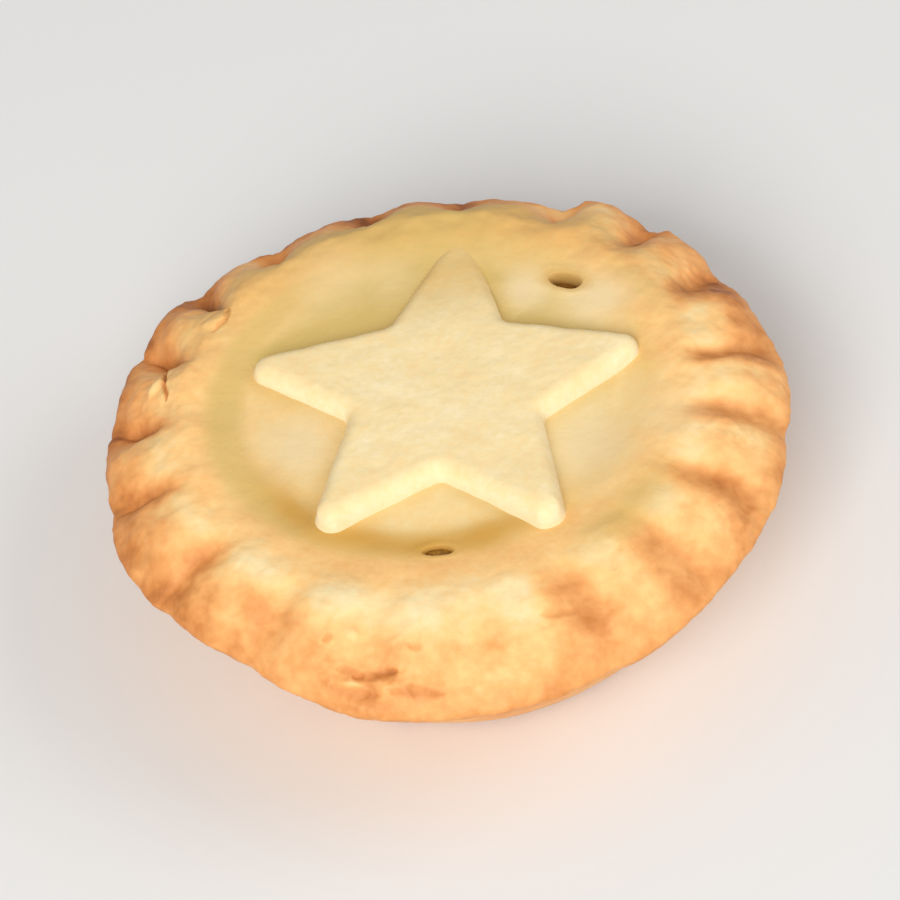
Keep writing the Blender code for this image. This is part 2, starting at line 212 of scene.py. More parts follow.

# Per cent of browning from the lid's middle out to the edge, at the front, right, back and left. The lobes'
# pale crests, palest at the front, are partly paler pastry and partly a painted highlight
BAKE_RADII = (0.0, 0.014, 0.016, 0.0178, 0.0192, 0.0204, 0.0216, 0.0228, 0.0244, 0.0262, 0.028)
LOBE_BAKES_AND_HIGHLIGHTS = (
    (14, 20, 32, 38, 32, 20, 15, 20, 44, 54, 64),
    (14, 17, 24, 31, 32, 30, 24, 26, 38, 48, 58),
    (14, 18, 28, 40, 48, 52, 56, 60, 66, 74, 84),
    (20, 26, 32, 36, 34, 28, 24, 32, 50, 62, 72),
)
FLUTE_BAKES = (
    (14, 20, 32, 40, 40, 39, 40, 46, 54, 60, 66),
    (14, 17, 24, 33, 40, 48, 58, 68, 70, 68, 68),
    (14, 18, 28, 42, 52, 60, 68, 76, 82, 86, 88),
    (20, 26, 32, 38, 42, 48, 58, 68, 74, 78, 80),
)
# The wall is browner at its top, under the lip: partly browning, partly painted shade
WALL_TOP_BAKE_AND_SHADE = 0.64
WALL_LOW_BAKE = 0.5
FOOT_BAKE = 0.1  # added at the foot of the case
STAR_BAKE = 0.15

# Paler and browner patches: place, half angle in degrees, half share and change
TONES = (
    (234.0, 0.735, 16.0, 0.04, -0.04),
    (290.0, 0.74, 14.0, 0.04, 0.13),
    (338.0, 0.78, 9.0, 0.04, 0.07),
    (0.0, 0.78, 8.0, 0.04, 0.07),
    (50.0, 0.78, 8.0, 0.04, 0.02),
    (274.0, 0.93, 19.0, 0.06, -0.14),
    (228.0, 0.9, 7.0, 0.05, -0.1),
    (299.0, 0.77, 8.0, 0.04, 0.07),
    (347.0, 0.87, 4.0, 0.07, -0.22),
    (18.0, 0.95, 9.0, 0.07, 0.24),
    (30.0, 0.78, 12.0, 0.05, 0.02),
    (60.0, 0.96, 9.0, 0.07, -0.42),
    (90.0, 0.76, 20.0, 0.04, 0.19),
    (120.0, 0.96, 8.0, 0.06, -0.26),
    (147.0, 0.95, 8.0, 0.06, -0.12),
)

# Painted reflections, as pale spots of the lid: x, y and half size in millimetres, and strength
PALE_REFLECTION_SPOTS = (
    (-12.0, 0.0, 2.8, 1.0),
    (11.3, -5.3, 3.3, 1.0),
    (17.3, -3.5, 3.0, 0.5),
    (8.2, 13.1, 1.8, 1.0),
    (14.0, 10.5, 2.4, 1.0),
    (-7.1, 17.6, 3.0, 0.35),
    (-2.5, 16.4, 2.4, 0.3),
)

# Olive and gold, each from where it starts to where it is full or gone. The olive band at the rim's foot, the
# olive on the far rim and the gold band at the lid's near foot are painted shade
LID_OLIVE_END = (0.014, 0.017)
FOOT_OLIVE_SHADE = (0.0152, 0.0186)  # radii between which the rim's foot is olive
NEAR_FOOT_OLIVE_SHADE = (0.0138, 0.0162)
FAR_OLIVE_SHADE_START = (0.013, 0.017)
FAR_OLIVE_SHADE_END = (0.0228, 0.0258)
OLIVE_CORNERS = (math.radians(313.0), math.radians(30.0))
OLIVE_CORNER_RADIUS = 0.0203
GOLD_SHADE_RADIUS = 0.0153
BAND_WIDTH = 0.0016

# Painted shade on the lid round the star: at the star's foot and as a shadow behind it
SHADED_RADIUS = 0.0215
SHADE_STEPS = 60  # the lid is worked through in parts, to save memory
CONTACT_SHADE_WIDTH = 0.0009
SHADE_WIDTH = 0.0022

# Mesh of the crust
TOP_RINGS = 106
LID_RINGS_SHARE = 0.45
LIP_RINGS = 11
WALL_RINGS = 13
FILLET_RINGS = 6
BASE_RINGS = 9
OUTER_RINGS = LIP_RINGS + WALL_RINGS + FILLET_RINGS + BASE_RINGS
VENT_DETAIL_SIZE = 0.0026
# Where else it is split finer: place and size
DETAIL_SPOTS = (
    (157.0, 0.88, 0.0034),
    (136.5, 0.87, 0.0028),
    (249.0, 0.93, 0.0042),
    (240.0, 0.85, 0.001),
    (287.5, 0.82, 0.0024),
    (293.0, 0.89, 0.0016),
    (303.0, 0.75, 0.0016),
    (344.5, 0.82, 0.002),
    (325.0, 0.93, 0.0024),
)

# Materials
PASTRY_ROUGHNESS = (0.5, 0.66)
PASTRY_SPECULAR = 0.35
FILLING_ROUGHNESS = (0.34, 0.55)
FILLING_SPECULAR = 0.3

LIGHT_TARGET_HEIGHT = 0.01
# Lights: name, azimuth and elevation in degrees, distance, size, power and colour
LIGHTS = (
    ("key", -108.0, 38.0, 0.8, 0.4, 4.9, (1.0, 0.975, 0.935)),
    ("fill", 0.0, 36.0, 0.9, 0.6, 2.4, (1.0, 0.98, 0.95)),
)

SURROUNDING_COLOUR = (1.0, 0.985, 0.965, 1.0)
SURROUNDING_STRENGTH = 0.44
FLOOR_COLOUR = (0.78, 0.79, 0.8, 1.0)
FLOOR_ROUGHNESS = 0.9
# Camera, with its angles in degrees
CAMERA_AZIMUTH = -90.0
CAMERA_ELEVATION = 48.0
CAMERA_ROLL = 9.7
CAMERA_DISTANCE = 0.507
CAMERA_LENS = 249.7
CAMERA_SENSOR = 36.0


def mix(low, high, share):
    """The value that lies the given share of the way from low to high."""
    return low + (high - low) * share


def smooth_step(low, high, value):
    """0 below low, 1 above high, and an even S curve between them."""
    share = np.clip((value - low) / (high - low), 0.0, 1.0)
    return share * share * (3.0 - 2.0 * share)


def bell(value, centre, width):
    """1 at the centre, fading out on both sides."""
    return np.exp(-(((value - centre) / width) ** 2))


def turn_between(turn, centre):
    """Difference of two directions, between minus and plus half a turn."""
    return (turn - centre + math.pi) % FULL_TURN - math.pi


def unit(rows):
    """Vectors scaled to a length of 1."""
    return rows / np.linalg.norm(rows, axis=1, keepdims=True)


def turned(x, y, turn):
    """Two coordinates after a turn."""
    return x * math.cos(turn) - y * math.sin(turn), x * math.sin(turn) + y * math.cos(turn)


# Noise
def gradient_noise(points, size, seed):
    """Smooth noise between about -1 and 1, with lumps of the given size."""
    draw = np.random.RandomState(seed)
    order = draw.permutation(256)
    slopes = unit(draw.normal(size=(256, 3)))
    place = points / size
    cell = np.floor(place).astype(np.int64)
    inside = place - cell
    fade = inside**3 * (inside * (inside * 6.0 - 15.0) + 10.0)
    total = np.zeros(len(points))
    for corner in range(8):
        step = np.array([corner & 1, corner >> 1 & 1, corner >> 2 & 1])
        at = (cell + step) % 256
        pick = order[(order[(order[at[:, 0]] + at[:, 1]) % 256] + at[:, 2]) % 256]
        weight = np.prod(np.where(step, fade, 1.0 - fade), axis=1)
        total += weight * np.einsum("ij,ij->i", slopes[pick], inside - step)
    return 1.6 * total


def layered_noise(points, size, seed, layers):
    """Several layers of noise, each half the size and strength of the one before."""
    total = np.zeros(len(points))
    for layer in range(layers):
        share = 0.5**layer
        total += share * gradient_noise(points, share * size, seed + layer)
    return total


# Section and mesh of the crust
def section_points():
    """Radius and height down the half section, and where its named stretches end."""
    share = np.linspace(0.0, 1.0, 41)
    stretches = [(share * LID_RADIUS, LID_HEIGHT + LID_DOME * (1.0 - share**2))]
    share = np.linspace(0.0, 1.0, 25)[1:]
    rise = 0.5 - 0.5 * np.cos(math.pi * share)
    stretches.append((mix(LID_RADIUS, CREST_RADIUS, share), mix(LID_HEIGHT, CREST_HEIGHT, rise)))
    turn = np.linspace(0.0, 0.5 * math.pi, 61)[1:]
    power = 2.0 / SHOULDER_FLATNESS
    radius = mix(CREST_RADIUS, RIM_RADIUS, np.sin(turn) ** power)
    stretches.append((radius, mix(EDGE_HEIGHT, CREST_HEIGHT, np.clip(np.cos(turn), 0.0, 1.0) ** power)))
    turn = np.linspace(0.0, 0.5 * math.pi, 31)[1:]
    power = 2.0 / LIP_FLATNESS
    radius = mix(WALL_TOP_RADIUS, RIM_RADIUS, np.clip(np.cos(turn), 0.0, 1.0) ** power)
    stretches.append((radius, mix(EDGE_HEIGHT, LIP_HEIGHT, np.sin(turn) ** power)))
    taper = math.atan2(WALL_TOP_RADIUS - BASE_RADIUS, LIP_HEIGHT)
    fillet_radius = BASE_RADIUS - BASE_FILLET * math.tan(0.25 * math.pi - 0.5 * taper)
    foot_radius = fillet_radius + BASE_FILLET * math.cos(taper)
    foot_height = BASE_FILLET * (1.0 - math.sin(taper))
    share = np.linspace(0.0, 1.0, 41)[1:]
    radius = mix(WALL_TOP_RADIUS, foot_radius, share) + WALL_BELLY * np.sin(math.pi * share)
    stretches.append((radius, mix(LIP_HEIGHT, foot_height, share)))
    turn = np.linspace(taper, 0.5 * math.pi, 21)[1:]
    stretches.append((fillet_radius + BASE_FILLET * np.cos(turn), BASE_FILLET * (1.0 - np.sin(turn))))
    share = np.linspace(0.0, 1.0, 21)[1:]
    stretches.append((mix(fillet_radius, 0.0, share), 0.0 * share))
    points = np.vstack([np.column_stack(stretch) for stretch in stretches])
    steps = np.linalg.norm(np.diff(points, axis=0), axis=1)
    lengths = np.concatenate([[0.0], np.cumsum(steps)])
    ends = np.cumsum([len(radius) for radius, _ in stretches]) - 1
    return points, lengths, lengths[ends]


def read_section(share):
    """Radius, height and outward normal at a share of the way across the disc that the crust is spread on."""
    points, lengths, (lid, _, *ends) = section_points()
    rings = np.cumsum([LIP_RINGS, WALL_RINGS, FILLET_RINGS, BASE_RINGS])
    shares = [0.0, LID_RINGS_SHARE, 1.0, *(1.0 + rings / TOP_RINGS)]
    at = np.interp(share, shares, [0.0, lid, *ends])
    slope = np.gradient(points, lengths, axis=0)
    normals = unit(np.column_stack([-slope[:, 1], slope[:, 0]]))
    return [np.interp(at, lengths, values) for values in (*points.T, *normals.T)]


def disc_mesh():
    """A square grid bent to a disc, with rings round it for the lip, the wall and the base."""
    half = TOP_RINGS
    line = np.arange(-half, half + 1)
    across, up = [grid.ravel().astype(float) for grid in np.meshgrid(line, line)]
    wide = np.abs(across) >= np.abs(up)
    longer = np.where(wide, across, up)
    turn = 0.25 * math.pi * np.where(wide, up, across) / np.where(longer == 0.0, 1.0, longer)
    turn = np.where(wide, turn, 0.5 * math.pi - turn)
    reach = longer / half
    places = np.column_stack([reach * np.cos(turn), reach * np.sin(turn), 0.0 * turn])
    size = 2 * half + 1
    numbers = np.arange(size * size).reshape(size, size)
    faces = np.stack([numbers[:-1, :-1], numbers[:-1, 1:], numbers[1:, 1:], numbers[1:, :-1]], axis=-1)
    faces = faces.reshape(-1, 4).tolist()
    edge = np.flatnonzero(np.maximum(np.abs(across), np.abs(up)) == half)
    edge = edge[np.argsort(np.arctan2(places[edge, 1], places[edge, 0]))]
    directions = unit(places[edge])
    rows = [places]
    inner = edge
    start = len(places)
    for ring in range(1, OUTER_RINGS):
        rows.append(directions * (1.0 + ring / half))
        outer = np.arange(start, start + len(edge))
        faces += np.stack([inner, outer, np.roll(outer, -1), np.roll(inner, -1)], axis=-1).tolist()
        start += len(edge)
        inner = outer
    rows.append(np.array([[0.0, 0.0, 1.0]]))
    faces += [[int(b), int(a), start] for a, b in zip(inner, np.roll(inner, -1))]
    mesh = bpy.data.meshes.new("mince_pie_crust")
    mesh.from_pydata(np.vstack(rows).tolist(), [], faces)
    return mesh


def read_vectors(items, name):
    """The vectors of a mesh's vertices or normals as an array."""
    flat = np.empty(3 * len(items))
    items.foreach_get(name, flat)
    return flat.reshape(-1, 3)


def write_places(mesh, places):
    """Moves a mesh's vertices."""
    mesh.vertices.foreach_set("co", places.ravel())
    mesh.update()


class Crust:
    """Every vertex of the crust: its place and what the colours are worked out from."""

    def __init__(self, disc):
        base_centre = disc[:, 2] > 0.5
        share = np.where(base_centre, 1.0 + OUTER_RINGS / TOP_RINGS, np.hypot(disc[:, 0], disc[:, 1]))
        turn = np.arctan2(disc[:, 1], disc[:, 0]) % FULL_TURN
        number = turn / FULL_TURN * FLUTE_COUNT
        offsets = [flute[0] for flute in FLUTES + FLUTES[:1]]
        self.turn = turn + FLUTE_TURN + FLUTE_SWAY * np.cos(turn - FLUTE_SWAY_SIDE)
        self.turn = self.turn + np.radians(np.interp(number, range(FLUTE_COUNT + 1), offsets))
        self.radius, self.height, self.out, self.up = read_section(share)
        self.above = share <= 1.0
        self.inside = np.clip((RIM_RADIUS - self.radius) / (RIM_RADIUS - LID_RADIUS), 0.0, 1.0) * self.above
        self.near = smooth_step(-0.5, 0.9, np.cos(self.turn - NEAR_SIDE))
        self.soft = smooth_step(-0.4, 0.5, np.cos(self.turn - SOFT_SIDE))
        self.raise_slope()
        number = self.slanted(number)
        self.read_flutes(number)
        self.reach = self.flute_reach()
        self.places = self.shaped(self.lobe_push(number))

    def raise_slope(self):
        """Lets the lid rise to the rim, from further in at the far side."""
        start = mix(FAR_SLOPE_START, NEAR_SLOPE_START, 0.5 - 0.5 * np.sin(self.turn))
        for size, count, phase in SLOPE_WAVES:
            start = start + size * np.sin(count * self.turn + phase)
        lid_height = LID_HEIGHT + LID_DOME * (1.0 - (self.radius / LID_RADIUS) ** 2)
        slope = smooth_step(start, CREST_RADIUS, self.radius)
        height = mix(np.maximum(lid_height, LID_HEIGHT), CREST_HEIGHT, slope)
        self.height = np.where(self.above & (self.radius < CREST_RADIUS), height, self.height)

    def from_above(self, radius):
        """Where the vertices lie at a radius, seen from above, moved with the lid."""
        x = radius * np.cos(self.turn) + RECESS_SHIFT[0] * self.inside
        return x, radius * np.sin(self.turn) + RECESS_SHIFT[1] * self.inside

    def slanted(self, number):
        """Each vertex's place among the flutes, which point at the lid's own centre and slant a little."""
        x, y = self.from_above(self.radius)
        shifted = np.arctan2(y, x)
        number = number + turn_between(shifted, self.turn) / FULL_TURN * FLUTE_COUNT
        outward = np.clip((self.radius / RIM_RADIUS - SLANT_PIVOT) / (1.0 - SLANT_PIVOT), -1.0, 1.0)
        outward = np.where(self.above, outward, 1.0)
        slant = FLUTE_SLANT * (np.cos(self.turn) - 0.3) * np.clip(0.3 + 0.7 * np.sin(self.turn), 0.0, None)
        return number - slant * outward / FULL_TURN * FLUTE_COUNT

    def read_flutes(self, number):
        """How deep the nearest flute is, how much painted shade lies at the bottom of its fold and how brown
        it is, and how far up its lobe each vertex lies.
        """
        draw = random.Random(FLUTE_SEED)
        spreads = np.array([1.0 + draw.uniform(-FLUTE_SPREAD, FLUTE_SPREAD) for _ in FLUTES])
        nearest = np.round(number).astype(int) % FLUTE_COUNT
        depth_share, self.darkness = np.array(FLUTES)[nearest, 1:3].T
        self.depth = FLUTE_DEPTH * spreads[nearest] * depth_share
        self.brown = smooth_step(0.0, 1.3, depth_share)
        # Painted shade: browning moved onto the shaded side of the right-hand flutes
        browning_shade_shift = BROWNING_SHADE_SHIFT * smooth_step(0.1, 0.8, np.cos(self.turn - BROWNING_SHADE_SHIFT_SIDE))
        self.middle = np.sin(math.pi * (number + browning_shade_shift)) ** 2
        aside = np.abs((number + 0.5) % 1.0 - 0.5)
        sharp = np.clip(np.sin(math.pi * (number % 1.0)), 0.0, 1.0) ** SHARP_ROUNDNESS
        self.lobe = mix(sharp, 1.0 - bell(aside, 0.0, SOFT_WIDTH), self.soft)

    def flute_reach(self):
        """1 where a flute has its full depth, 0 beyond its ends."""
        start = mix(FAR_START_RADIUS, NEAR_START_RADIUS, self.near)
        full = mix(FAR_FULL_RADIUS, NEAR_FULL_RADIUS, self.near)
        edge_share = EDGE_SHARE * (1.0 - SOFT_EDGE_LOSS * self.soft)
        reach = smooth_step(start, full, self.radius)
        reach = reach * smooth_step(FLUTE_LOW_HEIGHT, EDGE_HEIGHT, self.height)
        return reach * mix(edge_share, 1.0, smooth_step(EDGE_HEIGHT, FLUTE_TOP_HEIGHT, self.height))

    def lobe_push(self, number):
        """How far each lobe stands out by itself, most of all at the widest edge."""
        push_at = [lobe + step for lobe in range(FLUTE_COUNT) for step in (FLUTE_EDGE, 1.0 - FLUTE_EDGE)]
        push_at = [-FLUTE_EDGE] + push_at + [FLUTE_COUNT + FLUTE_EDGE]
        pushes = [MILLIMETRE * push for flute in FLUTES for push in flute[3:5]]
        push = np.interp(number % FLUTE_COUNT, push_at, pushes[-1:] + pushes + pushes[:1])
        push = push * smooth_step(CREST_RADIUS, RIM_RADIUS, self.radius)
        return np.where(self.above, push, push * smooth_step(BASE_FILLET, LIP_HEIGHT, self.height))

    def shaped(self, push):
        """The vertices' places, with the outline's bulges, the flutes and the lobes' own push."""
        lean = 1.0 + FLUTE_LEAN * np.cos(self.turn - FLUTE_LEAN_SIDE)
        dent = self.depth * lean * (1.0 - self.lobe) * self.reach
        bulge = RIM_BULGE * np.cos(self.turn - RIM_BULGE_SIDE)
        bulge += RIM_CORNERS * np.cos(3.0 * (self.turn - RIM_CORNER_SIDE))
        radius = self.radius * (1.0 + bulge * smooth_step(LID_RADIUS, RIM_RADIUS, self.radius))
        radius = radius - dent * self.out + push
        wave = RIM_WAVE * (np.sin(2.0 * self.turn + 0.7) + np.sin(3.0 * self.turn + 2.1))
        lift = (wave - RIM_TILT * np.sin(self.turn)) * self.reach
        return np.column_stack([*self.from_above(radius), self.height + lift - dent * self.up])


def refine(mesh, places, spots):
    """Splits the faces round each spot, so that fine detail has vertices to shape."""
    bm = bmesh.new()
    bm.from_mesh(mesh)
    bm.faces.ensure_lookup_table()
    centres = np.array([places[[vertex.index for vertex in face.verts]].mean(axis=0) for face in bm.faces])
    groups = {}
    for centre, size, cuts in spots:
        near = np.flatnonzero(np.linalg.norm(centres - centre, axis=1) < size)
        groups.setdefault(cuts, set()).update(edge for number in near for edge in bm.faces[number].edges)
    for cuts, edges in sorted(groups.items()):
        bmesh.ops.subdivide_edges(bm, edges=list(edges), cuts=cuts, use_grid_fill=True, use_single_edge=True)
    bm.to_mesh(mesh)
    bm.free()


def polar_place(degrees, share):
    """A place on the crust seen from above, from its turn and its share of the rim's radius."""
    return np.array(turned(share * RIM_RADIUS, 0.0, math.radians(degrees)))


def nearest_place(places, spot):
    """The place of the crust's vertex that is nearest to a spot, seen from above."""
    distance = np.linalg.norm(places[:, :2] - spot, axis=1)
    distance[places[:, 2] < EDGE_HEIGHT] = 1.0
    return places[np.argmin(distance)]


def stroke_share(places, stroke, seed):
    """1 along the middle of a wavering crack, 0 beside it."""
    start = polar_place(*stroke[0:2])
    reach = polar_place(*stroke[2:4]) - start
    offset = places[:, :2] - start
    along = np.clip(offset @ reach / (reach @ reach), 0.0, 1.0)
    sideways = offset - along[:, None] * reach
    waver = CRACK_WAVER * gradient_noise(places, 0.0011, seed)
    normal = np.array([-reach[1], reach[0]]) / np.linalg.norm(reach)
    distance = np.linalg.norm(sideways - waver[:, None] * normal, axis=1)
    width = stroke[4] * (0.15 + 0.85 * np.clip(1.0 - (2.0 * along - 1.0) ** 2, 0.0, 1.0) ** 0.7)
    return np.clip(1.0 - distance / width, 0.0, 1.0)


def blister_share(places, blister, seed):
    """1 on top of an uneven blister, 0 round it."""
    centre = polar_place(*blister[0:2])
    turn = math.radians(blister[0] + 90.0) + random.Random(seed).uniform(-0.3, 0.3)
    share = ellipse_share(places, centre, blister[2:4], turn)
    share = share * (1.0 + 0.2 * gradient_noise(places, 0.0009, seed))
    return np.clip(1.0 - share**2, 0.0, 1.0) ** 1.3


def patch_share(crust, patch):
    """The patch's strength in its middle, fading out."""
    turn = np.arctan2(crust.places[:, 1], crust.places[:, 0])
    radius = np.hypot(crust.places[:, 0], crust.places[:, 1]) / RIM_RADIUS
    away = turn_between(turn, math.radians(patch[0])) / math.radians(patch[2])
    fade = smooth_step(LIP_HEIGHT, EDGE_HEIGHT, crust.height)
    return patch[4] * np.exp(-(away**2) - ((radius - patch[1]) / patch[3]) ** 2) * fade


def ellipse_share(places, centre, half_size, turn):
    """0 at an ellipse's centre, 1 on its edge."""
    across, up = turned(places[:, 0] - centre[0], places[:, 1] - centre[1], -turn)
    return np.hypot(across / half_size[0], up / half_size[1])


def fine_relief(crust, rim):
    """How far the crust's lumps stand out."""
    shift = np.zeros(len(rim))
    for size, seed, layers, lid_height, far_height, near_height in RELIEF:
        height = mix(lid_height, mix(far_height, near_height, crust.near), rim)
        shift += height * layered_noise(crust.places, size, seed, layers)
    return shift


def add_crags(crust, shift):
    """Adds rough patches, cracks and blisters to the relief. Returns their browning and the painted shade in
    the cracks.
    """
    places = crust.places
    rough = sum(patch_share(crust, patch) for patch in PATCHES)
    around = 0.4 * RIM_RADIUS * np.arctan2(places[:, 1], places[:, 0])
    layered = np.column_stack([around, 1.3 * np.hypot(places[:, 0], places[:, 1]), places[:, 2]])
    ridges = 1.0 - 2.0 * np.abs(gradient_noise(layered, 0.0014, 35))
    ridges = ridges - 0.8 * np.abs(gradient_noise(places, 0.0008, 36))
    shift += ROUGH_HEIGHT * rough * ridges
    burn = rough * (0.07 - 0.08 * ridges)
    hollow_shade = np.zeros(len(places))
    for number, stroke in enumerate(STROKES):
        share = stroke_share(places, stroke, 100 + number) * crust.above
        shift -= stroke[5] * smooth_step(0.0, 1.0, share)
        burn = np.maximum(burn, stroke[6] * smooth_step(0.0, 0.8, share))
        hollow_shade = np.maximum(hollow_shade, stroke[7] * smooth_step(0.2, 1.0, share))
    for number, blister in enumerate(BLISTERS):
        share = blister_share(places, blister, 200 + number) * crust.above
        shift += blister[4] * share
        burn += blister[5] * share
    return burn, hollow_shade


def vent_shares(crust):
    """Distance from each vent: 0 in its middle, 1 on its wavering edge, never near it below the rim."""
    shares = []
    for number, (place, half_size, turn, _) in enumerate(VENTS):
        share = ellipse_share(crust.places, place, half_size, turn)
        waver = 1.0 + 0.12 * gradient_noise(crust.places, 0.0012, 51 + number)
        shares.append(share * waver + 5.0 * ~crust.above)
    return shares


def star_shade(crust):
    """How close to the star's side the lid lies, for painted shade at the star's foot, and how much of it is
    in the shade behind the star, for a painted shadow.
    """
    contact_shade = np.zeros(len(crust.places))
    shade = np.zeros(len(crust.places))
    outline = rounded_outline(star_corners(), 0.0) + np.array(STAR_CENTRE)
    along = np.roll(outline, -1, axis=0) - np.roll(outline, 1, axis=0)
    facing_away = -along[:, 0] / np.linalg.norm(along, axis=1)
    lid = np.flatnonzero(crust.above & (crust.radius < SHADED_RADIUS))
    for part in np.array_split(lid, SHADE_STEPS):
        distances = np.linalg.norm(crust.places[part, None, :2] - outline[None], axis=2)
        away = distances.min(axis=1)
        behind = facing_away[np.argmin(distances, axis=1)]
        contact_shade[part] = bell(away, 0.0, CONTACT_SHADE_WIDTH)
        shade[part] = bell(away, 0.0, SHADE_WIDTH) * smooth_step(0.3, 1.0, behind)
    return contact_shade, shade


def shape_crust(crust):
    """Shapes the relief, the crags and the vents. Returns the fields that colour the crust."""
    rim = np.where(crust.above, smooth_step(LID_RADIUS, CREST_RADIUS, crust.radius), 1.0)
    wall = np.where(crust.above, 0.0, smooth_step(LIP_HEIGHT + 0.0012, LIP_HEIGHT - 0.001, crust.height))
    contact_shade, shade = star_shade(crust)
    shift = fine_relief(crust, rim * (1.0 - wall))
    burn, hollow_shade = add_crags(crust, shift)
    moved = crust.places + crust.normals * shift[:, None]
    halo = np.zeros(len(moved))
    vent = np.zeros(len(moved))
    for share in vent_shares(crust):
        moved[:, 2] -= VENT_DEPTH * (1.0 - smooth_step(0.4, 1.15, share))
        moved[:, 2] += VENT_LIP * bell(share, 1.7, 0.5)
        vent = np.maximum(vent, 1.0 - smooth_step(0.5, 1.3, share))
        halo = np.maximum(halo, bell(share, 1.1, 0.6))
    moved[:, 2] = np.maximum(moved[:, 2], 0.0)
    crust.places = moved
    # Painted shade at the bottom of each fold
    fold = (1.0 - crust.lobe) ** 4 * crust.reach * crust.above
    pinch = fold * bell(crust.radius, PINCH_RADIUS, PINCH_WIDTH)
    hollow_shade = np.maximum(hollow_shade, crust.darkness * np.clip(1.2 * pinch, 0.0, 1.0))
    fields = {"rim": rim, "burn": burn, "hollow_shade": hollow_shade, "vent": vent, "halo": halo}
    return {**fields, "contact_shade": contact_shade, "shade": shade}


def side_weights(turn):
    """How much a direction belongs to the front, right, back and left."""
    sides = [math.radians(angle) for angle in (-90.0, 0.0, 90.0, 180.0)]
    weights = [np.clip(np.cos(turn - side), 0.0, 1.0) ** 2 for side in sides]
    return [weight / sum(weights) for weight in weights]


def lobe_share(crust, front):
    """1 on the creamy lobes, whose pale crests are partly a painted highlight, and 0 in the browned flutes,
    as far as there are flutes.
    """
    soft = mix(smooth_step(0.0, 0.65, crust.middle), smooth_step(0.2, 1.0, crust.middle), front)
    lobe = mix(smooth_step(0.15, 0.85, crust.lobe), soft, crust.soft)
    return mix(0.5, lobe, np.clip(crust.reach * 2.0, 0.0, 1.0))


def browning(crust, fields, sides):
    """How far the crust is baked: from the pale lid to the orange to brown edge, mottled."""
    front = sides[0]
    on_lobe, in_flute = [
        0.01 * sum(side * np.interp(crust.radius, BAKE_RADII, bakes) for side, bakes in zip(sides, table))
        for table in (LOBE_BAKES_AND_HIGHLIGHTS, FLUTE_BAKES)
    ]
    bake = mix(in_flute, on_lobe, 1.0 - crust.brown * (1.0 - lobe_share(crust, front)))
    wall = np.where(crust.above, 0.0, smooth_step(EDGE_HEIGHT, LIP_HEIGHT, crust.height))
    wall_bake = mix(WALL_TOP_BAKE_AND_SHADE, WALL_LOW_BAKE, smooth_step(LIP_HEIGHT, 0.5 * LIP_HEIGHT, crust.height))
    bake = mix(bake, wall_bake, wall) + FOOT_BAKE * smooth_step(0.0024, 0.0003, crust.height)
    outer = fields["rim"] * smooth_step(*OUTER_MOTTLE_START, crust.radius)
    off_base = smooth_step(0.0, 0.002, crust.height)
    # Size, seed, layers and strength of the mottling
    mottles = (
        (0.005, 61, 2, 0.05 * mix(0.5, 1.0, fields["rim"])),
        (0.003, 71, 3, mix(0.13, 0.08, front) * outer),
        (0.006, 76, 1, 0.08 * wall * (1.0 - off_base)),
        (0.004, 77, 3, 0.08 * wall * off_base),
        (0.0009, 75, 1, 0.04 * fields["rim"] * off_base),
    )
    for size, seed, layers, strength in mottles:
        bake += strength * layered_noise(crust.places, size, seed, layers)
    bake += sum(patch_share(crust, tone) for tone in TONES)
    # The painted shade at the star's foot also browns the lid a little
    return np.clip(bake + 0.04 * fields["contact_shade"] + fields["burn"], 0.0, 1.0)


def pale_reflection_share(crust):
    """How pale the lid is in its pale places, which are painted reflections."""
    pale = np.zeros(len(crust.places))
    waver = 1.0 + 0.2 * gradient_noise(crust.places, 0.004, 95)
    for x, y, size, strength in PALE_REFLECTION_SPOTS:
        distance = np.hypot(crust.places[:, 0] - MILLIMETRE * x, crust.places[:, 1] - MILLIMETRE * y)
        pale = np.maximum(pale, strength * bell(distance * waver, 0.0, MILLIMETRE * size))
    return pale * crust.above


def corner_share(crust, turn):
    """1 in the middle of an olive corner of the rim's foot, fading out."""
    band = bell(crust.radius, OLIVE_CORNER_RADIUS, BAND_WIDTH)
    return band * bell(turn_between(crust.turn, turn), 0.0, 0.25)


